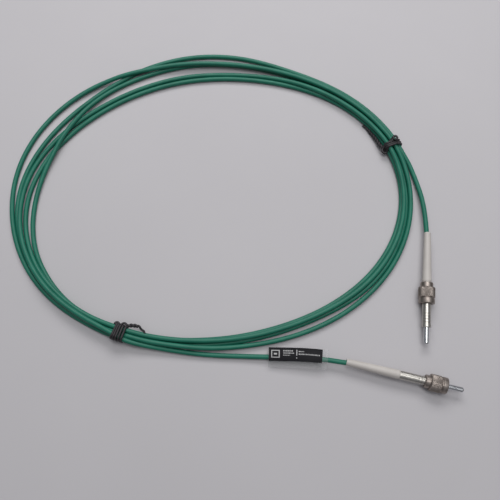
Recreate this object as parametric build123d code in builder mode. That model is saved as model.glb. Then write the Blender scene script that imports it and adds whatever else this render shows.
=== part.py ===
"""A fibre optic patch cord, coiled flat and tied twice, with an SMA 905 screw connector on each end.

Millimetres, +Z up. The cord lies on Z = 0 and the origin is under the middle of its bounding box.
Connector distances are measured from the boot's cable end, along the connector, to the ferrule's tip.
"""

from math import cos, radians, sin, tan

from build123d import *
import os

os.makedirs("parts", exist_ok=True)

# Cord
JACKET_RADIUS = 1.5
BUFFER_RADIUS = 0.45
FIBRE_RADIUS = 0.13
FIBRE_BORE_RADIUS = 0.14

# Connector stations
JACKET_END = 18.0
CRIMP_START = 14.5
POST_START = 19.0
BOOT_END = 32.0
FERRULE_START = 42.5
EPOXY_START = 52.0
EPOXY_END = 55.0
FLANGE_START = 58.5
FLANGE_END = 60.0
TIP = 69.8

# Connector radii
FERRULE_RADIUS = 1.5875
FERRULE_SHANK_RADIUS = 1.8
FERRULE_TIP_RADIUS = 1.3
FERRULE_REAR_BORE = 0.47
NECK_RADIUS = 2.6
FLANGE_RADIUS = 2.8
POST_RADIUS = 1.3
BODY_BORE = 0.5
YARN_RADIUS = 1.7
CRIMP_RADIUS = 2.2
BOOT_CORD_BORE = 1.55
BOOT_CRIMP_BORE = 2.23
BOOT_SMALL_RADIUS = 2.1
BOOT_LARGE_RADIUS = 2.8
GROOVE_DEPTH = 0.25
GROOVE_WIDTH = 0.7
GROOVE_STARTS = (42.6, 44.4, 51.4, 53.2, 55.0, 56.8)

# Coupling nut, measured from its rear face, and the split ring inside it
NUT_LENGTH = 13.2
NUT_HUB_LENGTH = 3.0
NUT_HUB_RADIUS = 3.9
NUT_GRIP_END = 9.6
NUT_GRIP_RADIUS = 5.1
NUT_NOSE_START = 10.2
NUT_NOSE_RADIUS = 4.9
NUT_WAIST_RADIUS = 4.5
NUT_NECK_BORE = 2.68
NUT_GROOVE = (1.2, 2.3)
NUT_GROOVE_RADIUS = 3.35
NUT_THREAD_RADIUS = 2.84
EDGE_BREAK = 0.4
RING_SPAN = (1.25, 2.25)
RING_INNER_RADIUS = 2.65
RING_OUTER_RADIUS = 3.25
RING_ARC = 325

# Connectors: cable end of the boot, heading in degrees from +X, and where the nut's rear face rests
AXIS_HEIGHT = 5.1
CONNECTORS = {
    "a": {"cable_end": (127.6, -15.4, AXIS_HEIGHT), "heading": -95.2, "nut_at": 32.3},
    "b": {"cable_end": (72.9, -95.7, AXIS_HEIGHT), "heading": -13.5, "nut_at": 46.9},
}

# Coil: the lines of its innermost and outermost turns, as radius against angle about COIL_CENTRE
COIL_CENTRE = (-4.8, 8.6)
INNER_MEAN = 103.2
INNER_WAVES = ((1, 1.6, -129.0), (2, 15.2, 8.0), (3, 0.95, -21.0), (4, 1.3, 8.6))
OUTER_MEAN = 113.3
OUTER_WAVES = ((1, 6.3, 140.5), (2, 15.0, 0.0), (4, 1.7, 2.0))
OUTLINE_POINTS = 24
LAYER_HEIGHT = 3.0

# Leads: the stretches of cord outside the coil, from inside the connector to the coil
AXIS_POINT_A = 13.0
AXIS_POINT_B = 10.0
LEAD_A_FLOOR_POINTS = [(121.7, 30.0, JACKET_RADIUS), (116.6, 39.8, JACKET_RADIUS)]
LEAD_B_FLOOR_POINTS = [
    (18.1, -92.4, JACKET_RADIUS),
    (-12.8, -91.4, JACKET_RADIUS),
    (-36.7, -87.0, JACKET_RADIUS),
]
BEND_SHARE = 0.45

# Ties: angle round the coil, size of the bundle that each one holds, and its loose end
TIE_WIDTH = 5.2
TIE_THICKNESS = 1.5
TIE_END_RADIUS = 0.8
BUNDLE_LENGTH = 26.0
TIES = {
    "a": {
        "angle": 236.0,
        "bundle": (7.6, 8.0),
        "end": [(-60.9, -75.5, 9.6), (-57.1, -72.7, 8.8), (-53.8, -73.3, 7.0), (-51.1, -78.6, 5.4)],
    },
    "b": {
        "angle": 17.0,
        "bundle": (9.4, 6.0),
        "end": [(105.1, 42.2, 6.6), (100.2, 43.3, 6.8), (94.9, 51.2, 5.6), (92.4, 57.2, 4.6)],
    },
}

# Label: a clear flattened sleeve on the lead to connector b, and the printed strip on its upper side
SLEEVE_START = 8.4
SLEEVE_LENGTH = 37.0
SLEEVE_HALF_WIDTH = 6.2
SLEEVE_HALF_HEIGHT = 2.05
SLEEVE_WALL = 0.3
STRIP_START = 9.2
STRIP_LENGTH = 32.4
STRIP_WIDTH = 8.2
STRIP_THICKNESS = 0.2
STRIP_OFFSET = 1.1


def on_axis(connector, distance):
    """A point on a connector's axis."""
    x, y, z = connector["cable_end"]
    heading = radians(connector["heading"])
    return (x + distance * cos(heading), y + distance * sin(heading), z)


def profile_plane(connector):
    """The upright plane through a connector's axis: local X along it, local Y up."""
    heading = radians(connector["heading"])
    return Plane(
        origin=connector["cable_end"],
        x_dir=(cos(heading), sin(heading), 0),
        z_dir=(sin(heading), -cos(heading), 0),
    )


def line_radius(angle, mean, waves):
    """Radius of one of the coil's lines at an angle in degrees."""
    return mean + sum(size * cos(radians(count * (angle - phase))) for count, size, phase in waves)


def coil_point(angle, radius, height=0.0):
    """A point at a radius and an angle in degrees about the coil's centre."""
    x = COIL_CENTRE[0] + radius * cos(radians(angle))
    y = COIL_CENTRE[1] + radius * sin(radians(angle))
    return (x, y, height)


def inner_edge(angle, height=0.0):
    return coil_point(angle, line_radius(angle, INNER_MEAN, INNER_WAVES) - JACKET_RADIUS, height)


def outer_edge(angle, height=0.0):
    return coil_point(angle, line_radius(angle, OUTER_MEAN, OUTER_WAVES) + JACKET_RADIUS, height)


def bundle_middle(angle, height=0.0):
    return (Vector(*inner_edge(angle, height)) + Vector(*outer_edge(angle, height))) / 2


def bundle_plane(tie):
    """The upright plane across the bundle at a tie: local X outwards, local Y up."""
    ahead = bundle_middle(tie["angle"] + 4) - bundle_middle(tie["angle"] - 4)
    along = Vector(ahead.X, ahead.Y, 0).normalized()
    middle_height = TIE_THICKNESS + tie["bundle"][1] / 2
    return Plane(
        origin=bundle_middle(tie["angle"], middle_height),
        x_dir=(along.Y, -along.X, 0),
        z_dir=(-along.X, -along.Y, 0),
    )


def bend_radii(points):
    """The largest tangent arc that each corner's two runs allow."""
    radii = []
    for before, corner, after in zip(points, points[1:], points[2:]):
        run_in = Vector(*corner) - Vector(*before)
        run_out = Vector(*after) - Vector(*corner)
        half_turn = radians(run_in.get_angle(run_out) / 2)
        radii.append(BEND_SHARE * min(run_in.length, run_out.length) / tan(half_turn))
    return radii


def report_tube(name, points, radii, solid):
    """Print the bends and compare the tube's volume with its section times its length."""
    runs = [round((Vector(*b) - Vector(*a)).length, 1) for a, b in zip(points, points[1:])]
    section = Circle(JACKET_RADIUS).area
    print(name, "runs", runs, "radii", [round(r, 1) for r in radii])
    print(name, "length by volume", round(solid.volume / section, 2), "runs added up", sum(runs))


boot_outline = [
    (0.0, BOOT_CORD_BORE),
    (0.0, BOOT_SMALL_RADIUS - 0.2),
    (0.5, BOOT_SMALL_RADIUS),
    (BOOT_END - 1.0, BOOT_LARGE_RADIUS),
    (BOOT_END, BOOT_LARGE_RADIUS - 0.25),
    (BOOT_END, BOOT_CRIMP_BORE),
    (CRIMP_START - 0.2, BOOT_CRIMP_BORE),
    (CRIMP_START - 0.2, BOOT_CORD_BORE),
]
crimp_sleeve_outline = [
    (CRIMP_START, JACKET_RADIUS),
    (CRIMP_START, CRIMP_RADIUS),
    (BOOT_END - 0.1, CRIMP_RADIUS),
    (BOOT_END - 0.1, YARN_RADIUS),
    (JACKET_END, YARN_RADIUS),
    (JACKET_END, JACKET_RADIUS),
]
aramid_yarn_outline = [
    (POST_START, POST_RADIUS),
    (POST_START, YARN_RADIUS),
    (BOOT_END - 0.1, YARN_RADIUS),
    (BOOT_END - 0.1, POST_RADIUS),
]
buffer_tube_outline = [
    (JACKET_END, FIBRE_BORE_RADIUS),
    (JACKET_END, BUFFER_RADIUS),
    (EPOXY_START, BUFFER_RADIUS),
    (EPOXY_START, FIBRE_BORE_RADIUS),
]
epoxy_outline = [
    (EPOXY_START, FIBRE_BORE_RADIUS),
    (EPOXY_START, FERRULE_REAR_BORE),
    (EPOXY_END, FERRULE_REAR_BORE),
    (EPOXY_END, FIBRE_BORE_RADIUS),
]
ferrule_outline = [
    (FERRULE_START, FERRULE_REAR_BORE),
    (FERRULE_START, FERRULE_SHANK_RADIUS),
    (FLANGE_END, FERRULE_SHANK_RADIUS),
    (FLANGE_END, FERRULE_RADIUS),
    (TIP - 0.5, FERRULE_RADIUS),
    (TIP, FERRULE_TIP_RADIUS),
    (TIP, FIBRE_BORE_RADIUS),
    (EPOXY_END, FIBRE_BORE_RADIUS),
    (EPOXY_END, FERRULE_REAR_BORE),
]
body_outline = [
    (POST_START, BODY_BORE),
    (POST_START, POST_RADIUS),
    (BOOT_END, POST_RADIUS),
    (BOOT_END, NECK_RADIUS),
]
for groove_start in GROOVE_STARTS:
    body_outline += [
        (groove_start, NECK_RADIUS),
        (groove_start + 0.1, NECK_RADIUS - GROOVE_DEPTH),
        (groove_start + GROOVE_WIDTH - 0.1, NECK_RADIUS - GROOVE_DEPTH),
        (groove_start + GROOVE_WIDTH, NECK_RADIUS),
    ]
body_outline += [
    (FLANGE_START, NECK_RADIUS),
    (FLANGE_START, FLANGE_RADIUS),
    (FLANGE_END - 0.2, FLANGE_RADIUS),
    (FLANGE_END, FLANGE_RADIUS - 0.2),
    (FLANGE_END, FERRULE_SHANK_RADIUS),
    (FERRULE_START, FERRULE_SHANK_RADIUS),
    (FERRULE_START, BODY_BORE),
]
nut_outline = [
    (0.0, NUT_NECK_BORE),
    (0.0, NUT_HUB_RADIUS - EDGE_BREAK),
    (EDGE_BREAK, NUT_HUB_RADIUS),
    (NUT_HUB_LENGTH, NUT_HUB_RADIUS),
    (NUT_HUB_LENGTH, NUT_GRIP_RADIUS - EDGE_BREAK),
    (NUT_HUB_LENGTH + EDGE_BREAK, NUT_GRIP_RADIUS),
    (NUT_GRIP_END - EDGE_BREAK, NUT_GRIP_RADIUS),
    (NUT_GRIP_END, NUT_GRIP_RADIUS - EDGE_BREAK),
    (NUT_GRIP_END, NUT_WAIST_RADIUS),
    (NUT_NOSE_START, NUT_WAIST_RADIUS),
    (NUT_NOSE_START, NUT_NOSE_RADIUS),
    (NUT_LENGTH - EDGE_BREAK, NUT_NOSE_RADIUS),
    (NUT_LENGTH, NUT_NOSE_RADIUS - EDGE_BREAK),
    (NUT_LENGTH, NUT_THREAD_RADIUS + EDGE_BREAK),
    (NUT_LENGTH - EDGE_BREAK, NUT_THREAD_RADIUS),
    (NUT_GROOVE[1], NUT_THREAD_RADIUS),
    (NUT_GROOVE[1], NUT_GROOVE_RADIUS),
    (NUT_GROOVE[0], NUT_GROOVE_RADIUS),
    (NUT_GROOVE[0], NUT_NECK_BORE),
]
fixed_outlines = {
    "boot": boot_outline,
    "crimp_sleeve": crimp_sleeve_outline,
    "aramid_yarn": aramid_yarn_outline,
    "buffer_tube": buffer_tube_outline,
    "epoxy": epoxy_outline,
    "ferrule": ferrule_outline,
    "connector_body": body_outline,
}

for tag, connector in CONNECTORS.items():
    plane = profile_plane(connector)
    turning_axis = Axis(plane.origin, plane.x_dir)

    # Turned pieces that stay put
    for name, outline in fixed_outlines.items():
        with BuildPart() as turned:
            with BuildSketch(plane):
                with BuildLine():
                    Polyline(*outline, close=True)
                make_face()
            revolve(axis=turning_axis)
        turned.part.label = f"{name}_{tag}"
        export_step(turned.part, f"parts/{name}_{tag}.step")

    # Bare fibre, from the jacket's end to the polished face
    fibre_plane = Plane(origin=on_axis(connector, JACKET_END), z_dir=plane.x_dir)
    with BuildPart() as fibre:
        with BuildSketch(fibre_plane):
            Circle(FIBRE_RADIUS)
        extrude(amount=TIP - JACKET_END)
    fibre.part.label = f"fibre_{tag}"
    export_step(fibre.part, f"parts/fibre_{tag}.step")

    # Coupling nut, where it rests on the neck
    nut_plane = plane.offset(0)
    nut_plane.origin = on_axis(connector, connector["nut_at"])
    with BuildPart() as coupling_nut:
        with BuildSketch(nut_plane):
            with BuildLine():
                Polyline(*nut_outline, close=True)
            make_face()
        revolve(axis=turning_axis)
    coupling_nut.part.label = f"coupling_nut_{tag}"
    export_step(coupling_nut.part, f"parts/coupling_nut_{tag}.step")

    # Split ring in the nut's groove, round the neck
    with BuildPart() as nut_retaining_ring:
        with BuildSketch(nut_plane):
            with Locations(((RING_SPAN[0] + RING_SPAN[1]) / 2, (RING_INNER_RADIUS + RING_OUTER_RADIUS) / 2)):
                Rectangle(RING_SPAN[1] - RING_SPAN[0], RING_OUTER_RADIUS - RING_INNER_RADIUS)
        revolve(axis=turning_axis, revolution_arc=RING_ARC)
    nut_retaining_ring.part.label = f"nut_retaining_ring_{tag}"
    export_step(nut_retaining_ring.part, f"parts/nut_retaining_ring_{tag}.step")

# Ties: a band of wire turns round the bundle, with a loose end
tie_parts = {}
for tag, tie in TIES.items():
    across = bundle_plane(tie)
    width, height = tie["bundle"]
    with BuildPart() as tie_band:
        with BuildSketch(across):
            RectangleRounded(
                width + 2 * TIE_THICKNESS,
                height + 2 * TIE_THICKNESS,
                min(width, height) / 2 + TIE_THICKNESS - 0.1,
            )
            RectangleRounded(width, height, min(width, height) / 2 - 0.1, mode=Mode.SUBTRACT)
        extrude(amount=TIE_WIDTH / 2, both=True)
        with BuildLine() as end_route:
            FilletPolyline(*tie["end"], radius=bend_radii(tie["end"]))
        with BuildSketch(Plane(origin=end_route.line @ 0, z_dir=end_route.line % 0)):
            Circle(TIE_END_RADIUS)
        sweep(path=end_route.line)
    tie_band.part.label = f"tie_{tag}"
    export_step(tie_band.part, f"parts/tie_{tag}.step")
    tie_parts[tag] = tie_band.part

# Coil: the outer shape of the five turns, one layer high where they fan out and a bundle at each tie
outline_angles = [360 * i / OUTLINE_POINTS for i in range(OUTLINE_POINTS)]
with BuildPart() as cord_coil:
    with BuildSketch():
        with BuildLine():
            Spline(*[outer_edge(angle) for angle in outline_angles], periodic=True)
        make_face()
        with BuildLine():
            Spline(*[inner_edge(angle) for angle in outline_angles], periodic=True)
        make_face(mode=Mode.SUBTRACT)
    extrude(amount=LAYER_HEIGHT)
    for tag, tie in TIES.items():
        width, height = tie["bundle"]
        with BuildSketch(bundle_plane(tie)):
            RectangleRounded(width, height, min(width, height) / 2 - 0.1)
        extrude(amount=BUNDLE_LENGTH / 2, both=True)
    for tag, tie in TIES.items():
        add(tie_parts[tag], mode=Mode.SUBTRACT)
cord_coil.part.label = "cord_coil"
export_step(cord_coil.part, "parts/cord_coil.step")

# Lead to connector a: out of the boot, down to the surface and into the coil
lead_a = [on_axis(CONNECTORS["a"], JACKET_END), on_axis(CONNECTORS["a"], -AXIS_POINT_A), *LEAD_A_FLOOR_POINTS]
with BuildPart() as cord_lead_a:
    with BuildLine() as lead_a_route:
        FilletPolyline(*lead_a, radius=bend_radii(lead_a))
    with BuildSketch(Plane(origin=lead_a_route.line @ 0, z_dir=lead_a_route.line % 0)):
        Circle(JACKET_RADIUS)
    sweep(path=lead_a_route.line)
cord_lead_a.part.label = "cord_lead_a"
export_step(cord_lead_a.part, "parts/cord_lead_a.step")
report_tube("lead a", lead_a, bend_radii(lead_a), cord_lead_a.part)

# Lead to connector b: out of the boot, through the label sleeve and into the coil
lead_b = [on_axis(CONNECTORS["b"], JACKET_END), on_axis(CONNECTORS["b"], -AXIS_POINT_B), *LEAD_B_FLOOR_POINTS]
with BuildPart() as cord_lead_b:
    with BuildLine() as lead_b_route:
        FilletPolyline(*lead_b, radius=bend_radii(lead_b))
    with BuildSketch(Plane(origin=lead_b_route.line @ 0, z_dir=lead_b_route.line % 0)):
        Circle(JACKET_RADIUS)
    sweep(path=lead_b_route.line)
cord_lead_b.part.label = "cord_lead_b"
export_step(cord_lead_b.part, "parts/cord_lead_b.step")
report_tube("lead b", lead_b, bend_radii(lead_b), cord_lead_b.part)

# Label: its axis is the run of the lead between the coil and connector b
label_run = Vector(*lead_b[1]) - Vector(*lead_b[2])
label_along = label_run.normalized()
label_across = Vector(0, 0, 1).cross(label_along).normalized()
sleeve_origin = Vector(*lead_b[2]) + label_along * SLEEVE_START
sleeve_plane = Plane(origin=sleeve_origin, x_dir=label_across, z_dir=label_along)
inner_half_width = SLEEVE_HALF_WIDTH - 2 * SLEEVE_WALL
inner_half_height = SLEEVE_HALF_HEIGHT - SLEEVE_WALL
with BuildPart() as label_sleeve:
    with BuildSketch(sleeve_plane):
        with BuildLine():
            ThreePointArc((-SLEEVE_HALF_WIDTH, 0), (0, SLEEVE_HALF_HEIGHT), (SLEEVE_HALF_WIDTH, 0))
            ThreePointArc((SLEEVE_HALF_WIDTH, 0), (0, -SLEEVE_HALF_HEIGHT), (-SLEEVE_HALF_WIDTH, 0))
        make_face()
        with BuildLine():
            ThreePointArc((-inner_half_width, 0), (0, inner_half_height), (inner_half_width, 0))
            ThreePointArc((inner_half_width, 0), (0, -inner_half_height), (-inner_half_width, 0))
        make_face(mode=Mode.SUBTRACT)
    extrude(amount=SLEEVE_LENGTH)
label_sleeve.part.label = "label_sleeve"
export_step(label_sleeve.part, "parts/label_sleeve.step")

# The strip follows the sleeve's crown: the same arc, and the same arc one thickness out
crown_radius = (SLEEVE_HALF_WIDTH**2 + SLEEVE_HALF_HEIGHT**2) / (2 * SLEEVE_HALF_HEIGHT)
crown_centre = SLEEVE_HALF_HEIGHT - crown_radius
strip_plane = Plane(
    origin=Vector(*lead_b[2]) + label_along * STRIP_START, x_dir=label_across, z_dir=label_along
)
with BuildPart() as label_strip:
    with BuildSketch(strip_plane):
        with Locations((0, crown_centre)):
            Circle(crown_radius + STRIP_THICKNESS)
            Circle(crown_radius, mode=Mode.SUBTRACT)
        with Locations((STRIP_OFFSET, SLEEVE_HALF_HEIGHT)):
            Rectangle(STRIP_WIDTH, 2 * SLEEVE_HALF_HEIGHT, mode=Mode.INTERSECT)
    extrude(amount=STRIP_LENGTH)
label_strip.part.label = "label_strip"
export_step(label_strip.part, "parts/label_strip.step")
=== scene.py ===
"""Looks of a coiled fibre optic patch cord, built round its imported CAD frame. Metres, +Z up."""

import math
import random

import bmesh
import bpy
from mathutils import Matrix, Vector, noise


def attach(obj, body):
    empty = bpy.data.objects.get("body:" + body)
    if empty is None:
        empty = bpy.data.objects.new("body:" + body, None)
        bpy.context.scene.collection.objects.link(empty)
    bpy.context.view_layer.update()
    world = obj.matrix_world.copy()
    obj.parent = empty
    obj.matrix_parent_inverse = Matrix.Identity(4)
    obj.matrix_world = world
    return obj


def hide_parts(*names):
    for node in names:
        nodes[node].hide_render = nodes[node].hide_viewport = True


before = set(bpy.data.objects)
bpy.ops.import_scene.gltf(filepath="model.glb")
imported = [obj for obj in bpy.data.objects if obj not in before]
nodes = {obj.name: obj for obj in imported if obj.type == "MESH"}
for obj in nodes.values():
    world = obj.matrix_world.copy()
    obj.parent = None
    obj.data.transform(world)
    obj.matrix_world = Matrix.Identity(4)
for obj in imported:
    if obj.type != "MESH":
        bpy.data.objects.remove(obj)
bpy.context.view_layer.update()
random.seed(7)

MM = 0.001
CORD_RADIUS = 1.5 * MM
CORD_DIAMETER = 2 * CORD_RADIUS
UP = Vector((0, 0, 1))

# ---------------------------------------------------------------- camera
AIM = Vector((0.0155, -0.0253, 0.0))
ELEVATION = math.radians(75)
DISTANCE = 0.364
camera_data = bpy.data.cameras.new("camera")
camera_data.sensor_width = 36
camera_data.lens = 41.2
camera_data.clip_start = 0.01
camera_data.clip_end = 20
camera = bpy.data.objects.new("camera", camera_data)
bpy.context.scene.collection.objects.link(camera)
camera.location = AIM + DISTANCE * Vector((0, -math.cos(ELEVATION), math.sin(ELEVATION)))
camera.rotation_euler = (math.radians(90) - ELEVATION, 0, 0)
bpy.context.scene.camera = camera

# ---------------------------------------------------------------- connectors
AXIS_HEIGHT = 0.0051
CONNECTORS = {
    "a": {
        "cable_end": Vector((0.1276, -0.0154, AXIS_HEIGHT)),
        "heading": math.radians(-95.2),
        "nut_at": 32.3 * MM,
    },
    "b": {
        "cable_end": Vector((0.0729, -0.0957, AXIS_HEIGHT)),
        "heading": math.radians(-13.5),
        "nut_at": 46.9 * MM,
    },
}


def along(connector):
    """Unit vector from the boot to the ferrule's tip."""
    return Vector((math.cos(connector["heading"]), math.sin(connector["heading"]), 0))


def on_axis(tag, distance):
    """A point on a connector's axis, at a distance from its cable end towards the tip."""
    connector = CONNECTORS[tag]
    return connector["cable_end"] + along(connector) * distance


# ---------------------------------------------------------------- cord route
# The coil's innermost line: a mean radius in mm, and waves as count round, size in mm and phase.
# They are a least-squares fit to measured edges, rounded and made a little smaller.
COIL_CENTRE = Vector((-0.0048, 0.0086, 0))
INNER_MEAN = 103.2
INNER_WAVES = ((1, 1.6, -129.0), (2, 15.2, 8.0), (3, 0.95, -21.0), (4, 1.3, 8.6))
FULL_TURNS = 4
FIRST_ANGLE = 14.0
LAST_ANGLE = FULL_TURNS * 360 + 243.0
ANGLE_STEP = 5.0
TURN_STEPS = int(360 / ANGLE_STEP)

# Angle, then for each turn its lane in mm outwards from the innermost line and its layer.
# The fifth turn ends at 243 degrees, where lead b leaves the coil.
LANES = [
    (14, (7.6, 0), (5.4, 0.9), (3.1, 0), (0, 0), (1.6, 1)),
    (20, (6.8, 0), (4.9, 1), (3.1, 0), (-0.2, 0), (1.5, 1)),
    (32, (7.2, 0), (5.2, 1), (3.6, 0), (-0.4, 0), (1.4, 1)),
    (45, (7.6, 0), (5.8, 1), (4.2, 0), (-0.8, 0), (1.3, 1)),
    (55, (7.9, 0), (6.2, 1), (4.8, 0), (-1.1, 0), (1.8, 0.8)),
    (65, (9.6, 0), (7.4, 1), (6.0, 0), (-1.4, 0), (2.0, 0.6)),
    (75, (13.2, 0), (8.4, 1), (7.6, 0), (-1.6, 0), (1.5, 0.4)),
    (90, (16.0, 0), (9.9, 1), (9.5, 0), (-1.8, 0), (1.4, 0.2)),
    (100, (17.0, 0), (11.4, 0.9), (10.6, 0), (-1.4, 0), (2.2, 0)),
    (110, (17.1, 0), (13.2, 0.8), (11.1, 0), (-0.8, 0), (2.8, 0)),
    (120, (16.6, 0), (15.2, 1), (11.1, 0), (-0.4, 0), (3.0, 0)),
    (130, (14.7, 0), (17.9, 0.8), (11.0, 0), (0.0, 0), (3.3, 0)),
    (140, (12.6, 0.3), (20.1, 0), (10.9, 0), (0.2, 0), (3.6, 0)),
    (146, (11.5, 0), (20.6, 0), (9.9, 0.5), (0.4, 0), (3.8, 0)),
    (150, (11.1, 0), (20.6, 0), (8.0, 0.9), (0.6, 0), (4.2, 0)),
    (155, (11.0, 0), (20.3, 0), (5.4, 1), (1.0, 0), (4.9, 0)),
    (160, (11.0, 0), (19.9, 0), (3.0, 1), (1.8, 0), (6.0, 0)),
    (165, (11.0, 0), (19.4, 0), (0.9, 0.8), (2.4, 0), (7.4, 0)),
    (170, (11.0, 0), (18.2, 0), (-0.6, 0.1), (3.3, 0), (8.4, 0)),
    (175, (11.2, 0), (16.8, 0), (-1.3, 0), (4.1, 0), (8.6, 0)),
    (180, (11.4, 0), (14.9, 0), (-1.5, 0), (4.7, 0), (8.4, 0)),
    (185, (10.4, 0.5), (12.8, 0), (-1.1, 0), (4.8, 0), (7.9, 0)),
    (190, (9.2, 0.9), (10.8, 0), (-0.6, 0), (4.1, 0), (7.1, 0)),
    (200, (6.9, 1), (8.5, 0), (0.9, 0), (3.0, 0.6), (5.3, 0.3)),
    (210, (4.9, 1), (6.1, 0), (1.3, 0), (2.3, 1), (3.8, 1.9)),
    (220, (3.6, 1), (4.6, 0), (0.8, 0), (0.9, 1), (2.8, 2)),
    (230, (3.0, 1), (4.2, 0), (1.0, 0), (0.1, 1), (2.4, 2)),
    (236, (2.9, 1), (4.0, 0), (0.9, 0), (-0.1, 1), (2.6, 2)),
    (243, (3.0, 1), (3.6, 0), (0.5, 0), (-0.1, 1), (3.8, 2)),
    (252, (3.2, 1), (3.5, 0), (0.4, 0), (0.1, 1)),
    (262, (4.5, 1), (3.6, 0), (0.5, 0), (0.7, 1)),
    (275, (6.1, 0.8), (3.7, 0), (0.7, 0), (1.3, 1)),
    (285, (6.9, 0.4), (3.4, 0), (0.5, 0), (1.6, 1)),
    (295, (8.2, 0), (3.1, 0), (0.4, 0), (1.7, 1)),
    (310, (8.9, 0), (3.0, 0), (0.4, 0), (1.7, 1)),
    (320, (8.8, 0), (4.2, 0), (0.4, 0), (1.9, 0.8)),
    (330, (8.6, 0), (5.7, 0), (0.4, 0), (3.1, 0.2)),
    (340, (7.8, 0), (5.0, 0), (0.4, 0), (2.6, 0.6)),
    (350, (6.5, 0), (4.2, 0), (0.4, 0), (2.3, 1)),
    (360, (6.0, 0.4), (3.6, 0), (0.5, 0), (1.9, 1)),
]
TIE_ANGLES = {"a": 235.4, "b": 17.6}
TIE_WIRE = 0.7 * MM  # radius
CAMERA_FOOT = Vector((camera.location.x, camera.location.y, 0))
CAMERA_HEIGHT = camera.location.z

# Degrees from a tie at which the turns start to rise onto its wire, and over which they rise.
TIE_RISE_FROM = 9.0
TIE_RISE_OVER = 6.0

# Share of the way back to its lane that a turn is drawn at each step, and what is added near a tie,
# with the degrees from the tie at which that starts and over which it grows.
LANE_PULL = 0.25
TIE_PULL = 0.2
TIE_PULL_FROM = 24
TIE_PULL_OVER = 12

LAYER_RISE = 2.7  # mm
SINK = 0.04 * MM
SINK_STEPS = 220
SETTLE_STEPS = 260
LANE_SMOOTHINGS = 3


def inner_radius(angle):
    waves = sum(
        size * math.cos(math.radians(count * (angle - phase))) for count, size, phase in INNER_WAVES
    )
    return (INNER_MEAN + waves) * MM


def inner_point(angle):
    turn = math.radians(angle)
    return COIL_CENTRE + inner_radius(angle) * Vector((math.cos(turn), math.sin(turn), 0))


def outwards(angle):
    """Unit vector across the turns, away from the coil's middle."""
    ahead = (inner_point(angle + 1) - inner_point(angle - 1)).normalized()
    return Vector((ahead.y, -ahead.x, 0))


def lane(angle):
    """Lane and layer at an angle counted on from the first turn."""
    turn = int((angle - LANES[0][0]) // 360)
    here = angle - 360 * turn
    stops = [(row[0], row[1 + turn]) for row in LANES if len(row) > 1 + turn]
    if turn < FULL_TURNS:
        stops.append((LANES[0][0] + 360, LANES[0][2 + turn]))
    for (start, (lane_a, layer_a)), (end, (lane_b, layer_b)) in zip(stops, stops[1:]):
        if here <= end:
            share = (here - start) / (end - start)
            return lane_a + (lane_b - lane_a) * share, layer_a + (layer_b - layer_a) * share
    return stops[-1][1]


def nearest_tie(angle):
    """Degrees round the coil from an angle to the nearer tie."""
    return min(abs((angle - tie_angle + 180) % 360 - 180) for tie_angle in TIE_ANGLES.values())


def floor_height(angle):
    """Height of what the turns lie on: the surface, or a tie's wire under the bundle."""
    share = (TIE_RISE_FROM - nearest_tie(angle)) / TIE_RISE_OVER
    return 2 * TIE_WIRE * min(1.0, max(0.0, share))


def lane_pull(angle):
    """Share of the way back to its lane that a turn is drawn at each step."""
    share = (TIE_PULL_FROM - nearest_tie(angle)) / TIE_PULL_OVER
    return LANE_PULL + TIE_PULL * min(1.0, max(0.0, share))


def smoothed(values):
    """Each value but the first and last, averaged with its neighbours."""
    middle = [
        0.25 * before + 0.5 * here + 0.25 * after
        for before, here, after in zip(values, values[1:], values[2:])
    ]
    return [values[0]] + middle + [values[-1]]


def push_apart(across, height):
    """Move turns that overlap apart, each by half of the overlap."""
    count = len(across)
    for i in range(count):
        for j in range(i + TURN_STEPS, count, TURN_STEPS):
            dx = across[j] - across[i]
            dz = height[j] - height[i]
            gap = math.hypot(dx, dz)
            if gap < CORD_DIAMETER:
                push = (CORD_DIAMETER - gap) / 2 / max(gap, 1e-9)
                across[i] -= dx * push
                across[j] += dx * push
                height[i] -= dz * push
                height[j] += dz * push


def settle(angles):
    """Let the turns sink, touch and rest on one another. Returns lanes and heights in metres.

    A raised lane is first moved away from the camera's foot, so that it is seen where it is stated.
    """
    count = len(angles)
    across = []
    height = []
    for angle in angles:
        lane_at, layer = lane(angle)
        to_foot = (CAMERA_FOOT - inner_point(angle)).dot(outwards(angle))
        across.append(lane_at * MM + to_foot * layer * LAYER_RISE * MM / CAMERA_HEIGHT)
        height.append(CORD_RADIUS + floor_height(angle) + layer * LAYER_RISE * MM)
    for _ in range(LANE_SMOOTHINGS):
        across = smoothed(across)
    home = list(across)
    pull = [lane_pull(angle) for angle in angles]
    for step in range(SETTLE_STEPS):
        if step < SINK_STEPS:
            height = [z - SINK for z in height]
            smooth_z = height[:]
            smooth_x = across[:]
            for i in range(1, count - 1):
                smooth_z[i] = 0.5 * height[i] + 0.25 * (height[i - 1] + height[i + 1])
                even = 0.8 * across[i] + 0.1 * (across[i - 1] + across[i + 1])
                smooth_x[i] = even + pull[i] * (home[i] - across[i])
            height = smooth_z
            across = smooth_x
        push_apart(across, height)
        for i, angle in enumerate(angles):
            height[i] = max(height[i], CORD_RADIUS + floor_height(angle))
    return across, height


coil_steps = int((LAST_ANGLE - FIRST_ANGLE) / ANGLE_STEP)
coil_angles = [FIRST_ANGLE + ANGLE_STEP * i for i in range(coil_steps + 1)]
coil_across, coil_height = settle(coil_angles)
coil_points = [
    inner_point(angle) + outwards(angle) * across + UP * height
    for angle, across, height in zip(coil_angles, coil_across, coil_height)
]

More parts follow.
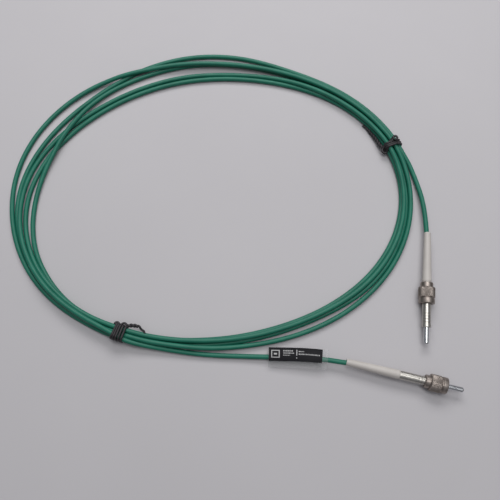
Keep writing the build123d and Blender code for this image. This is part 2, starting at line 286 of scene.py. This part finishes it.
# The jacket ends inside each boot. The two points at each end lie on that boot's axis.
JACKET_END = 18 * MM
AXIS_POINT_A = 13 * MM
AXIS_POINT_B = 10 * MM
LEAD_A_POINTS = [Vector((0.1217, 0.0300, CORD_RADIUS))]
LEAD_B_POINTS = [
    Vector((-0.0373, -0.0878, 0.0024)),
    Vector((-0.0128, -0.0914, CORD_RADIUS)),
    Vector((0.0181, -0.0924, CORD_RADIUS)),
]
route = [on_axis("a", JACKET_END), on_axis("a", -AXIS_POINT_A)]
route += LEAD_A_POINTS + coil_points + LEAD_B_POINTS
route += [on_axis("b", -AXIS_POINT_B), on_axis("b", JACKET_END)]

cord_curve = bpy.data.curves.new("cord", "CURVE")
cord_curve.dimensions = "3D"
spline = cord_curve.splines.new("NURBS")
spline.points.add(len(route) - 1)
for point, place in zip(spline.points, route):
    point.co = (*place, 1)
    point.radius = CORD_RADIUS
spline.order_u = 3
spline.use_endpoint_u = True
cord_curve.resolution_u = 6
cord = bpy.data.objects.new("cord", cord_curve)
bpy.context.scene.collection.objects.link(cord)


def centreline(curve_object):
    """Points read from a curve's own spline, while it has no bevel."""
    mesh = bpy.data.meshes.new_from_object(curve_object)
    points = [vertex.co.copy() for vertex in mesh.vertices]
    bpy.data.meshes.remove(mesh)
    return points


cord_line = centreline(cord)
# The points' radius is the cord's own, so the bevel that it scales is 1 m.
cord_curve.bevel_depth = 1.0
cord_curve.bevel_resolution = 6
cord_curve.use_fill_caps = True
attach(cord, "root")
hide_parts("cord_lead_a", "cord_coil", "cord_lead_b")


# ---------------------------------------------------------------- materials
CLOUD_SCALE = 0.12
RELIEF_DEPTH = 0.0002


def material(
    name,
    color,
    second,
    roughness,
    metallic=0.0,
    grain=400.0,
    bump=0.1,
    spread=0.08,
    stretch=None,
    **sockets,
):
    """A procedural finish: two shades in soft clouds, roughness that varies, and fine relief.

    stretch is a heading and a scale. The grain is scaled along X, Y and Z first and then turned.
    """
    made = bpy.data.materials.new(name)
    made.use_nodes = True
    tree = made.node_tree
    shader = tree.nodes["Principled BSDF"]
    place = tree.nodes.new("ShaderNodeTexCoord")
    source = place.outputs["Object"]
    if stretch is not None:
        mapping = tree.nodes.new("ShaderNodeMapping")
        heading, scale = stretch
        mapping.inputs["Rotation"].default_value = (0, 0, -heading)
        mapping.inputs["Scale"].default_value = scale
        tree.links.new(source, mapping.inputs["Vector"])
        source = mapping.outputs["Vector"]
    clouds = tree.nodes.new("ShaderNodeTexNoise")
    clouds.inputs["Scale"].default_value = grain * CLOUD_SCALE
    clouds.inputs["Detail"].default_value = 3
    fine = tree.nodes.new("ShaderNodeTexNoise")
    fine.inputs["Scale"].default_value = grain
    fine.inputs["Detail"].default_value = 5
    for texture in (clouds, fine):
        tree.links.new(source, texture.inputs["Vector"])
    shades = tree.nodes.new("ShaderNodeValToRGB")
    shades.color_ramp.elements[0].position = 0.3
    shades.color_ramp.elements[1].position = 0.7
    shades.color_ramp.elements[0].color = (*color, 1)
    shades.color_ramp.elements[1].color = (*second, 1)
    tree.links.new(clouds.outputs["Fac"], shades.inputs["Fac"])
    tree.links.new(shades.outputs["Color"], shader.inputs["Base Color"])
    rough = tree.nodes.new("ShaderNodeMapRange")
    rough.inputs["To Min"].default_value = roughness - spread
    rough.inputs["To Max"].default_value = roughness + spread
    tree.links.new(fine.outputs["Fac"], rough.inputs["Value"])
    tree.links.new(rough.outputs["Result"], shader.inputs["Roughness"])
    relief = tree.nodes.new("ShaderNodeBump")
    relief.inputs["Strength"].default_value = bump
    relief.inputs["Distance"].default_value = RELIEF_DEPTH
    tree.links.new(fine.outputs["Fac"], relief.inputs["Height"])
    tree.links.new(relief.outputs["Normal"], shader.inputs["Normal"])
    shader.inputs["Metallic"].default_value = metallic
    for socket, value in sockets.items():
        shader.inputs[socket.replace("_", " ")].default_value = value
    return made


def paint(obj, made):
    obj.data.materials.clear()
    obj.data.materials.append(made)


jacket = material(
    "jacket_pvc",
    (0.009, 0.125, 0.082),
    (0.014, 0.155, 0.102),
    0.44,
    grain=900,
    bump=0.06,
    Specular_IOR_Level=0.32,
)
boot_white = material(
    "boot_elastomer", (0.46, 0.43, 0.405), (0.52, 0.487, 0.457), 0.5, grain=700, bump=0.12
)
tie_black = material(
    "tie_wire", (0.014, 0.012, 0.014), (0.024, 0.021, 0.024), 0.58, grain=1500, bump=0.12
)
clear_film = material(
    "sleeve_film", (0.52, 0.53, 0.53), (0.62, 0.63, 0.63), 0.2, grain=300, bump=0.3, Alpha=0.055
)
label_black = material(
    "label_black",
    (0.008, 0.008, 0.010),
    (0.013, 0.013, 0.015),
    0.6,
    grain=900,
    bump=0.05,
    Specular_IOR_Level=0.12,
)
label_white = material(
    "label_print", (0.30, 0.30, 0.30), (0.38, 0.38, 0.38), 0.5, grain=1500, bump=0.05
)

# Scales of the grain, made for an axis along X. The turn comes after the scale and doesn't move its
# direction, so on connector a, which lies along Y, the metal's grain runs along the axis and the
# yarn's across it.
TURNED = (6.0, 1.0, 1.0)
DRAWN = (0.1, 1.0, 1.0)
CONNECTOR_FINISHES = {
    "connector_body": {
        "name": "nickel",
        "color": (0.46, 0.44, 0.41),
        "second": (0.54, 0.52, 0.48),
        "roughness": 0.36,
        "metallic": 1.0,
        "grain": 900,
        "bump": 0.08,
        "spread": 0.06,
        "stretch": TURNED,
    },
    "coupling_nut": {
        "name": "nut_nickel",
        "color": (0.29, 0.25, 0.225),
        "second": (0.37, 0.325, 0.295),
        "roughness": 0.42,
        "metallic": 1.0,
        "grain": 1200,
        "bump": 0.1,
        "spread": 0.07,
        "stretch": TURNED,
    },
    "ferrule": {
        "name": "ferrule_steel",
        "color": (0.60, 0.61, 0.63),
        "second": (0.67, 0.68, 0.70),
        "roughness": 0.15,
        "metallic": 1.0,
        "grain": 1500,
        "bump": 0.04,
        "spread": 0.04,
        "stretch": TURNED,
    },
    "nut_retaining_ring": {
        "name": "spring_steel",
        "color": (0.42, 0.42, 0.44),
        "second": (0.5, 0.5, 0.52),
        "roughness": 0.35,
        "metallic": 1.0,
        "grain": 1200,
        "bump": 0.08,
        "spread": 0.06,
        "stretch": TURNED,
    },
    "crimp_sleeve": {
        "name": "crimp_brass",
        "color": (0.62, 0.55, 0.42),
        "second": (0.7, 0.63, 0.5),
        "roughness": 0.35,
        "metallic": 1.0,
        "grain": 1200,
        "bump": 0.1,
        "spread": 0.06,
        "stretch": TURNED,
    },
    "aramid_yarn": {
        "name": "aramid",
        "color": (0.68, 0.5, 0.13),
        "second": (0.82, 0.64, 0.22),
        "roughness": 0.6,
        "grain": 2500,
        "bump": 0.5,
        "stretch": DRAWN,
    },
    "buffer_tube": {
        "name": "buffer",
        "color": (0.8, 0.8, 0.78),
        "second": (0.86, 0.86, 0.84),
        "roughness": 0.4,
        "grain": 1500,
        "bump": 0.05,
    },
    "fibre": {
        "name": "fibre_glass",
        "color": (0.75, 0.8, 0.85),
        "second": (0.85, 0.9, 0.95),
        "roughness": 0.06,
        "grain": 3000,
        "bump": 0.02,
        "spread": 0.02,
    },
    "epoxy": {
        "name": "epoxy",
        "color": (0.5, 0.32, 0.09),
        "second": (0.6, 0.4, 0.14),
        "roughness": 0.2,
        "grain": 1500,
        "bump": 0.05,
        "spread": 0.05,
    },
}

paint(cord, jacket)
nut_finishes = {}
for tag, connector in CONNECTORS.items():
    paint(nodes[f"boot_{tag}"], boot_white)
    for node, look in CONNECTOR_FINISHES.items():
        settings = dict(look, name=f"{look['name']}_{tag}")
        if "stretch" in look:
            settings["stretch"] = (connector["heading"], look["stretch"])
        finish = material(**settings)
        paint(nodes[f"{node}_{tag}"], finish)
        if node == "coupling_nut":
            nut_finishes[tag] = finish
paint(nodes["tie_a"], tie_black)
paint(nodes["tie_b"], tie_black)
paint(nodes["label_sleeve"], clear_film)
paint(nodes["label_strip"], label_black)


# ---------------------------------------------------------------- mesh helpers
def finished_piece(name, maker, finish, body, sharp=40):
    """Turn a bmesh into a piece that rides on a body."""
    bmesh.ops.recalc_face_normals(maker, faces=maker.faces)
    mesh = bpy.data.meshes.new(name)
    maker.to_mesh(mesh)
    maker.free()
    mesh.shade_smooth()
    mesh.set_sharp_from_angle(angle=math.radians(sharp))
    piece = bpy.data.objects.new(name, mesh)
    bpy.context.scene.collection.objects.link(piece)
    paint(piece, finish)
    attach(piece, body)
    return piece


def join_rings(maker, rings, closed=True):
    """Quads between rings of vertices of one size, and from the last ring to the first."""
    pairs = list(zip(rings, rings[1:]))
    if closed:
        pairs.append((rings[-1], rings[0]))
    for ring_a, ring_b in pairs:
        for i in range(len(ring_a)):
            j = (i + 1) % len(ring_a)
            maker.faces.new((ring_a[i], ring_a[j], ring_b[j], ring_b[i]))


# ---------------------------------------------------------------- coupling nuts
# Stations from a nut's rear and radii are in mm.
NUT_SEGMENTS = 216
KNURLS_ROUND = 36
KNURL_PITCH = 0.9
KNURL_DEPTH = 0.26
THREAD_PITCH = 0.706
THREAD_DEPTH = 0.26


def triangle(value):
    """A wave between 0 and 1 with a period of 1."""
    return abs(2 * (value % 1.0) - 1)


def knurl(turn, station):
    """Depth cut by two crossing sets of slanted grooves."""
    across = KNURLS_ROUND * turn
    one_way = triangle(across + station / KNURL_PITCH)
    other_way = triangle(across - station / KNURL_PITCH)
    cut = max(one_way, other_way)
    return -KNURL_DEPTH * cut**2


def thread(turn, station):
    """Depth of a single thread in the bore."""
    return THREAD_DEPTH * triangle(station / THREAD_PITCH - turn)


def plain(turn, station):
    return 0.0


def stations(start, end, count, radius, relief):
    """Evenly spaced rings of one radius that share a relief."""
    return [(start + (end - start) * i / (count - 1), radius, relief) for i in range(count)]


def smooth_rings(*profile):
    """Rings without relief, from pairs of station and radius."""
    return [(station, radius, plain) for station, radius in profile]


# Rear face, hub and the grip's rear edge; grip; its front edge and the waist; nose and mouth; thread;
# the retaining ring's groove and the neck bore.
NUT_RINGS = smooth_rings((0.0, 2.75), (0.0, 3.5), (0.35, 3.88), (2.95, 3.88), (3.0, 4.65), (3.4, 5.05))
NUT_RINGS += stations(3.5, 9.1, 38, 5.09, knurl)
NUT_RINGS += smooth_rings((9.2, 5.05), (9.6, 4.65), (9.65, 4.5), (10.15, 4.5), (10.2, 4.7), (10.4, 4.9))
NUT_RINGS += smooth_rings((12.75, 4.9), (13.05, 4.8), (13.2, 4.5), (13.2, 3.3))
NUT_RINGS += stations(12.85, 5.0, 68, 2.85, thread)
NUT_RINGS += smooth_rings((4.9, 2.85), (2.3, 2.85), (2.3, 3.34), (1.2, 3.34), (1.2, 2.69), (0.06, 2.69))

for tag, connector in CONNECTORS.items():
    forward = along(connector)
    side = Vector((-forward.y, forward.x, 0))
    rear = on_axis(tag, connector["nut_at"])
    nut_mesh = bmesh.new()
    nut_rings = []
    for station, radius, relief in NUT_RINGS:
        ring = []
        for i in range(NUT_SEGMENTS):
            turn = i / NUT_SEGMENTS
            reach = (radius + relief(turn, station)) * MM
            spin = turn * math.tau
            spot = side * math.cos(spin) + UP * math.sin(spin)
            ring.append(nut_mesh.verts.new(rear + forward * station * MM + spot * reach))
        nut_rings.append(ring)
    join_rings(nut_mesh, nut_rings)
    nut = finished_piece(
        f"knurled_nut_{tag}", nut_mesh, nut_finishes[tag], f"coupling_nut_{tag}", sharp=28
    )
    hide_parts(f"coupling_nut_{tag}")

# ---------------------------------------------------------------- ties
WRAP_STEPS = 30
WRAP_PITCH = 1.45 * MM
WRAP_WANDER = 0.35 * MM
WRAP_SLACK = 0.12 * MM
WRAP_CLEARANCE = 1.02
TWIST_PITCH = 4.5 * MM
BUNDLE_REACH = 20 * MM
LOOP_STEPS = 10
LOOP_RISE = 0.6 * MM


def crossings(angle):
    """Where the cord's turns cross the plane across the coil at an angle, as lane and height."""
    centre = inner_point(angle)
    out = outwards(angle)
    ahead = Vector((-out.y, out.x, 0))
    found = []
    for a, b in zip(cord_line, cord_line[1:]):
        before = (a - centre).dot(ahead)
        after = (b - centre).dot(ahead)
        if before * after <= 0 and before != after:
            spot = a.lerp(b, before / (before - after)) - centre
            if abs(spot.dot(out)) < BUNDLE_REACH:
                found.append((spot.dot(out), spot.z))
    return found


def smooth_path(points, step=1.0 * MM):
    """Even points along a smooth line through a few given ones."""
    ends = [points[0] * 2 - points[1], *points, points[-1] * 2 - points[-2]]
    made = []
    for p0, p1, p2, p3 in zip(ends, ends[1:], ends[2:], ends[3:]):
        count = max(2, round((p2 - p1).length / step))
        for i in range(count):
            t = i / count
            squared = (2 * p0 - 5 * p1 + 4 * p2 - p3) * t**2
            cubed = (3 * p1 - p0 - 3 * p2 + p3) * t**3
            made.append(0.5 * (2 * p1 + (p2 - p0) * t + squared + cubed))
    return made + [points[-1]]


def twisted(path, phase, share):
    """One of two wires wound round each other along a path, as far as a share of it.

    Past the shorter wire's end, the longer one runs closer to the path.
    """
    made = []
    run = 0.0
    for i in range(1, max(2, round(len(path) * share)) - 1):
        run += (path[i] - path[i - 1]).length
        forward = (path[i + 1] - path[i - 1]).normalized()
        side = forward.cross(UP).normalized()
        spin = phase + math.tau * run / TWIST_PITCH
        reach = TIE_WIRE * (1.0 if share < 1 or i < len(path) * 0.6 else 0.3)
        around = side * math.cos(spin) + forward.cross(side) * math.sin(spin)
        made.append(path[i] + around * reach)
    return made


def ring_loop(centre, ahead, side, radius):
    """A small loop of the wire, standing beside the wraps."""
    made = []
    for i in range(LOOP_STEPS + 1):
        turn = math.tau * i / LOOP_STEPS
        along_it = ahead * radius * math.cos(turn)
        across_it = side * radius * math.sin(turn)
        made.append(centre + along_it + across_it + UP * LOOP_RISE * (turn / math.tau))
    return made


def wraps_round(strands, centre, out, ahead, wrap_count, knot_side):
    """Wire wound round the outside of a bundle whose strands are given as lane and height."""
    made = []
    for i in range(wrap_count * WRAP_STEPS + 1):
        turn = math.tau * i / WRAP_STEPS + knot_side
        away = (math.cos(turn), math.sin(turn))
        lane_at, height_at = max(strands, key=lambda strand: strand[0] * away[0] + strand[1] * away[1])
        slack = WRAP_SLACK * (1 + math.sin(1.7 * turn)) * max(0.0, away[1])
        reach = CORD_RADIUS + TIE_WIRE * WRAP_CLEARANCE + slack
        shift = (i / WRAP_STEPS - wrap_count / 2) * WRAP_PITCH + WRAP_WANDER * math.sin(0.83 * turn)
        height = max(height_at + reach * away[1], TIE_WIRE)
        made.append(centre + out * (lane_at + reach * away[0]) + ahead * shift + UP * height)
    return made


def wound_tie(tag, wrap_count, knot_side, tail, short_share, first_loop, last_loop):
    """Wire wound round the turns, with a loop each side and its two ends twisted along a tail.

    A loop is its place outwards, along the coil and up, and its radius, in mm.
    """
    angle = TIE_ANGLES[tag]
    centre = inner_point(angle)
    out = outwards(angle)
    ahead = Vector((-out.y, out.x, 0))

    def loop(lane_at, ahead_at, height_at, radius):
        middle = centre + out * (lane_at * MM) + ahead * (ahead_at * MM) + UP * (height_at * MM)
        return ring_loop(middle, ahead, out, radius * MM)

    path = smooth_path(tail)
    points = twisted(path, 0.0, short_share)[::-1]
    points += loop(*first_loop)
    points += wraps_round(crossings(angle), centre, out, ahead, wrap_count, knot_side)
    points += loop(*last_loop)
    points += twisted(path, math.pi, 1.0)
    curve = bpy.data.curves.new(f"wire_tie_{tag}", "CURVE")
    curve.dimensions = "3D"
    wire = curve.splines.new("NURBS")
    wire.points.add(len(points) - 1)
    for point, place in zip(wire.points, points):
        point.co = (*place, 1)
        point.radius = TIE_WIRE
    wire.order_u = 3
    wire.use_endpoint_u = True
    curve.resolution_u = 3
    curve.bevel_depth = 1.0
    curve.bevel_resolution = 3
    curve.use_fill_caps = True
    tie = bpy.data.objects.new(f"wire_tie_{tag}", curve)
    bpy.context.scene.collection.objects.link(tie)
    paint(tie, tie_black)
    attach(tie, "root")
    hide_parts(f"tie_{tag}")


def beside(angle, gap, height):
    """A point inside the coil, with its gap from the innermost line and its height in mm."""
    return inner_point(angle) - outwards(angle) * gap * MM + UP * (height * MM)


TIE_A_TAIL = [
    beside(236.6, 1.6, 6.4),
    beside(238.6, 3.6, 6.6),
    beside(241.0, 4.2, 5.2),
    beside(243.0, 2.4, 4.2),
    beside(244.4, 0.4, 6.9),
]
TIE_B_TAIL = [
    beside(17.4, 2.6, 4.4),
    beside(19.5, 3.6, 3.4),
    beside(22.5, 3.0, 2.4),
    beside(26.0, 2.7, 1.7),
    beside(29.5, 2.6, 1.5),
]
wound_tie(
    "a",
    wrap_count=5,
    knot_side=math.radians(150),
    tail=TIE_A_TAIL,
    short_share=0.62,
    first_loop=(-1.9, -2.4, 5.6, 1.5),
    last_loop=(-2.2, 2.2, 6.2, 1.9),
)
wound_tie(
    "b",
    wrap_count=3,
    knot_side=math.radians(165),
    tail=TIE_B_TAIL,
    short_share=0.75,
    first_loop=(5.6, 2.4, 8.6, 1.4),
    last_loop=(-3.0, -1.2, 3.4, 1.8),
)

# ---------------------------------------------------------------- label
SLEEVE_START = Vector((0.0257, -0.0927, 0.0021))
SLEEVE_LENGTH = 35.6 * MM
SLEEVE_HALF_WIDTH = 6.1 * MM
SLEEVE_HALF_HEIGHT = 2.0 * MM
STRIP_START = 0.2 * MM
STRIP_LENGTH = 31.8 * MM
STRIP_WIDTH = 8.2 * MM
STRIP_OFFSET = 1.7 * MM
STRIP_LIFT = 0.02 * MM
STRIP_THICKNESS = 0.16 * MM
PRINT_LIFT = 0.17 * MM
PRINT_THICKNESS = 0.03 * MM
PATCH_STEPS_ALONG = 60
PATCH_STEPS_ACROSS = 16
FILM_SIDES = 72
FILM_STEPS = 90
FILM_WALL = 0.08 * MM
FILM_HALF_GAP = 0.12 * MM
FILM_LOWEST = 0.1 * MM

# Creases in the film: how fast they change along and across it, and their share of its height,
# and the same along its edges, as a share of its width.
CREASE_ALONG = 160
CREASE_ACROSS = 420
CREASE_DEPTH = 0.22
EDGE_CREASE_ALONG = 220
EDGE_CREASE_DEPTH = 0.05
CROWN_RADIUS = (SLEEVE_HALF_WIDTH**2 + SLEEVE_HALF_HEIGHT**2) / (2 * SLEEVE_HALF_HEIGHT)

runs = [0.0]
for a, b in zip(cord_line, cord_line[1:]):
    runs.append(runs[-1] + (b - a).length)
sleeve_index = min(range(len(cord_line)), key=lambda i: (cord_line[i] - SLEEVE_START).length)


def cord_frame(distance):
    """A place on the cord, at a distance from the sleeve's start, and the directions along and across."""
    target = runs[sleeve_index] + distance
    k = next(i for i in range(sleeve_index - 40, len(runs) - 1) if runs[i + 1] >= target)
    share = (target - runs[k]) / (runs[k + 1] - runs[k])
    place = cord_line[k].lerp(cord_line[k + 1], share)
    ahead = (cord_line[k + 3] - cord_line[k - 2]).normalized()
    return place, ahead, UP.cross(ahead).normalized()


def crown(across):
    """Height of the sleeve's upper side above its axis."""
    return math.sqrt(CROWN_RADIUS**2 - across**2) - (CROWN_RADIUS - SLEEVE_HALF_HEIGHT)


film_mesh = bmesh.new()
film_rings = []
for i in range(FILM_STEPS + 1):
    distance = SLEEVE_LENGTH * i / FILM_STEPS
    centre, _, side = cord_frame(distance)
    ring = []
    for j in range(FILM_SIDES):
        spin = math.tau * j / FILM_SIDES
        across = SLEEVE_HALF_WIDTH * math.cos(spin)
        height = max(crown(across), FILM_HALF_GAP) * (1 if math.sin(spin) >= 0 else -1)
        crease_at = (distance * CREASE_ALONG, across * CREASE_ACROSS, 7.0 if height > 0 else 19.0)
        edge_at = (distance * EDGE_CREASE_ALONG, 3.0 if across > 0 else 11.0, 0.0)
        height *= 1 - CREASE_DEPTH * abs(noise.noise(Vector(crease_at)))
        across *= 1 - EDGE_CREASE_DEPTH * abs(noise.noise(Vector(edge_at)))
        place = centre + side * across + UP * height
        place.z = max(place.z, FILM_LOWEST)
        ring.append(film_mesh.verts.new(place))
    film_rings.append(ring)
join_rings(film_mesh, film_rings, closed=False)
film = finished_piece("label_film", film_mesh, clear_film, "root", sharp=60)
wall = film.modifiers.new("wall", "SOLIDIFY")
wall.thickness = FILM_WALL
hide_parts("label_sleeve")


def label_patch(maker, start, end, low, high, lift, thickness):
    """A thin curved slab on the sleeve's upper side, from fractions of the strip's length and width."""
    long_steps = max(1, round((end - start) * PATCH_STEPS_ALONG))
    wide_steps = max(1, round((high - low) * PATCH_STEPS_ACROSS))
    sheets = []
    for level in (lift, lift + thickness):
        sheet = []
        for i in range(long_steps + 1):
            distance = STRIP_START + STRIP_LENGTH * (start + (end - start) * i / long_steps)
            centre, _, side = cord_frame(distance)
            row = []
            for j in range(wide_steps + 1):
                across = STRIP_OFFSET + STRIP_WIDTH * (low + (high - low) * j / wide_steps - 0.5)
                spot = centre + side * across + UP * (crown(across) + level)
                row.append(maker.verts.new(spot))
            sheet.append(row)
        sheets.append(sheet)
    bottom, top = sheets
    for sheet in sheets:
        for row_a, row_b in zip(sheet, sheet[1:]):
            for j in range(wide_steps):
                maker.faces.new((row_a[j], row_a[j + 1], row_b[j + 1], row_b[j]))
    rim = [(i, 0) for i in range(long_steps)]
    rim += [(long_steps, j) for j in range(wide_steps)]
    rim += [(i, wide_steps) for i in range(long_steps, 0, -1)]
    rim += [(0, j) for j in range(wide_steps, 0, -1)]
    for (i, j), (k, m) in zip(rim, rim[1:] + rim[:1]):
        maker.faces.new((bottom[i][j], bottom[k][m], top[k][m], top[i][j]))


strip_mesh = bmesh.new()
label_patch(strip_mesh, 0.0, 1.0, 0.0, 1.0, STRIP_LIFT, STRIP_THICKNESS)
strip = finished_piece("label_plate", strip_mesh, label_black, "root")
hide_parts("label_strip")

# Plain printed marks, as start, end, low and high in fractions of the strip: a hollow block with a
# square in it, a bar with a dot, and rules that are broken like small print.
PRINT_MARKS = [
    (0.045, 0.205, 0.74, 0.80),
    (0.045, 0.205, 0.24, 0.30),
    (0.045, 0.063, 0.30, 0.74),
    (0.187, 0.205, 0.30, 0.74),
    (0.095, 0.155, 0.46, 0.58),
    (0.515, 0.532, 0.42, 0.84),
    (0.515, 0.532, 0.20, 0.28),
]
PRINT_RULES = [
    (0.27, 0.45, 0.70, 0.80),
    (0.27, 0.47, 0.54, 0.62),
    (0.27, 0.40, 0.40, 0.45),
    (0.56, 0.66, 0.68, 0.76),
    (0.56, 0.95, 0.48, 0.57),
]
DASH_GAP = 0.009
for start, end, low, high in PRINT_RULES:
    here = start
    while here < end:
        dash = random.uniform(0.010, 0.024)
        PRINT_MARKS.append((here, min(here + dash, end), low, high))
        here += dash + DASH_GAP
print_mesh = bmesh.new()
for start, end, low, high in PRINT_MARKS:
    label_patch(print_mesh, start, end, low, high, PRINT_LIFT, PRINT_THICKNESS)
marks = finished_piece("label_marks", print_mesh, label_white, "root")

# ---------------------------------------------------------------- floor and light
floor_mesh = bpy.data.meshes.new("floor")
maker = bmesh.new()
bmesh.ops.create_grid(maker, x_segments=8, y_segments=8, size=2.5)
maker.to_mesh(floor_mesh)
maker.free()
floor = bpy.data.objects.new("floor", floor_mesh)
bpy.context.scene.collection.objects.link(floor)
floor_paper = material(
    "floor_paper", (0.46, 0.445, 0.46), (0.475, 0.46, 0.475), 0.8, grain=60, bump=0.02
)
paint(floor, floor_paper)

world = bpy.data.worlds.new("studio")
bpy.context.scene.world = world
world.use_nodes = True
sky = world.node_tree
sky_place = sky.nodes.new("ShaderNodeTexCoord")
sky_split = sky.nodes.new("ShaderNodeSeparateXYZ")
sky_shade = sky.nodes.new("ShaderNodeValToRGB")
sky_shade.color_ramp.elements[0].position = 0.05
sky_shade.color_ramp.elements[0].color = (0.055, 0.056, 0.06, 1)
sky_shade.color_ramp.elements[1].position = 0.9
sky_shade.color_ramp.elements[1].color = (0.56, 0.57, 0.60, 1)
sky.links.new(sky_place.outputs["Generated"], sky_split.inputs["Vector"])
sky.links.new(sky_split.outputs["Z"], sky_shade.inputs["Fac"])
sky.links.new(sky_shade.outputs["Color"], sky.nodes["Background"].inputs["Color"])
sky.nodes["Background"].inputs["Strength"].default_value = 0.64


def soft_light(name, place, size, power):
    """A rectangular light that faces the origin."""
    light = bpy.data.lights.new(name, "AREA")
    light.shape = "RECTANGLE"
    light.size, light.size_y = size
    light.energy = power
    made = bpy.data.objects.new(name, light)
    bpy.context.scene.collection.objects.link(made)
    made.location = place
    made.rotation_euler = (-Vector(place)).to_track_quat("-Z", "Y").to_euler()


soft_light("back_window", (0.05, 0.75, 0.75), (0.9, 0.4), 7.0)
soft_light("top_strip", (0.1, 0.12, 1.1), (1.0, 0.3), 4.9)
bpy.context.scene.view_settings.view_transform = "Standard"

bpy.context.view_layer.update()
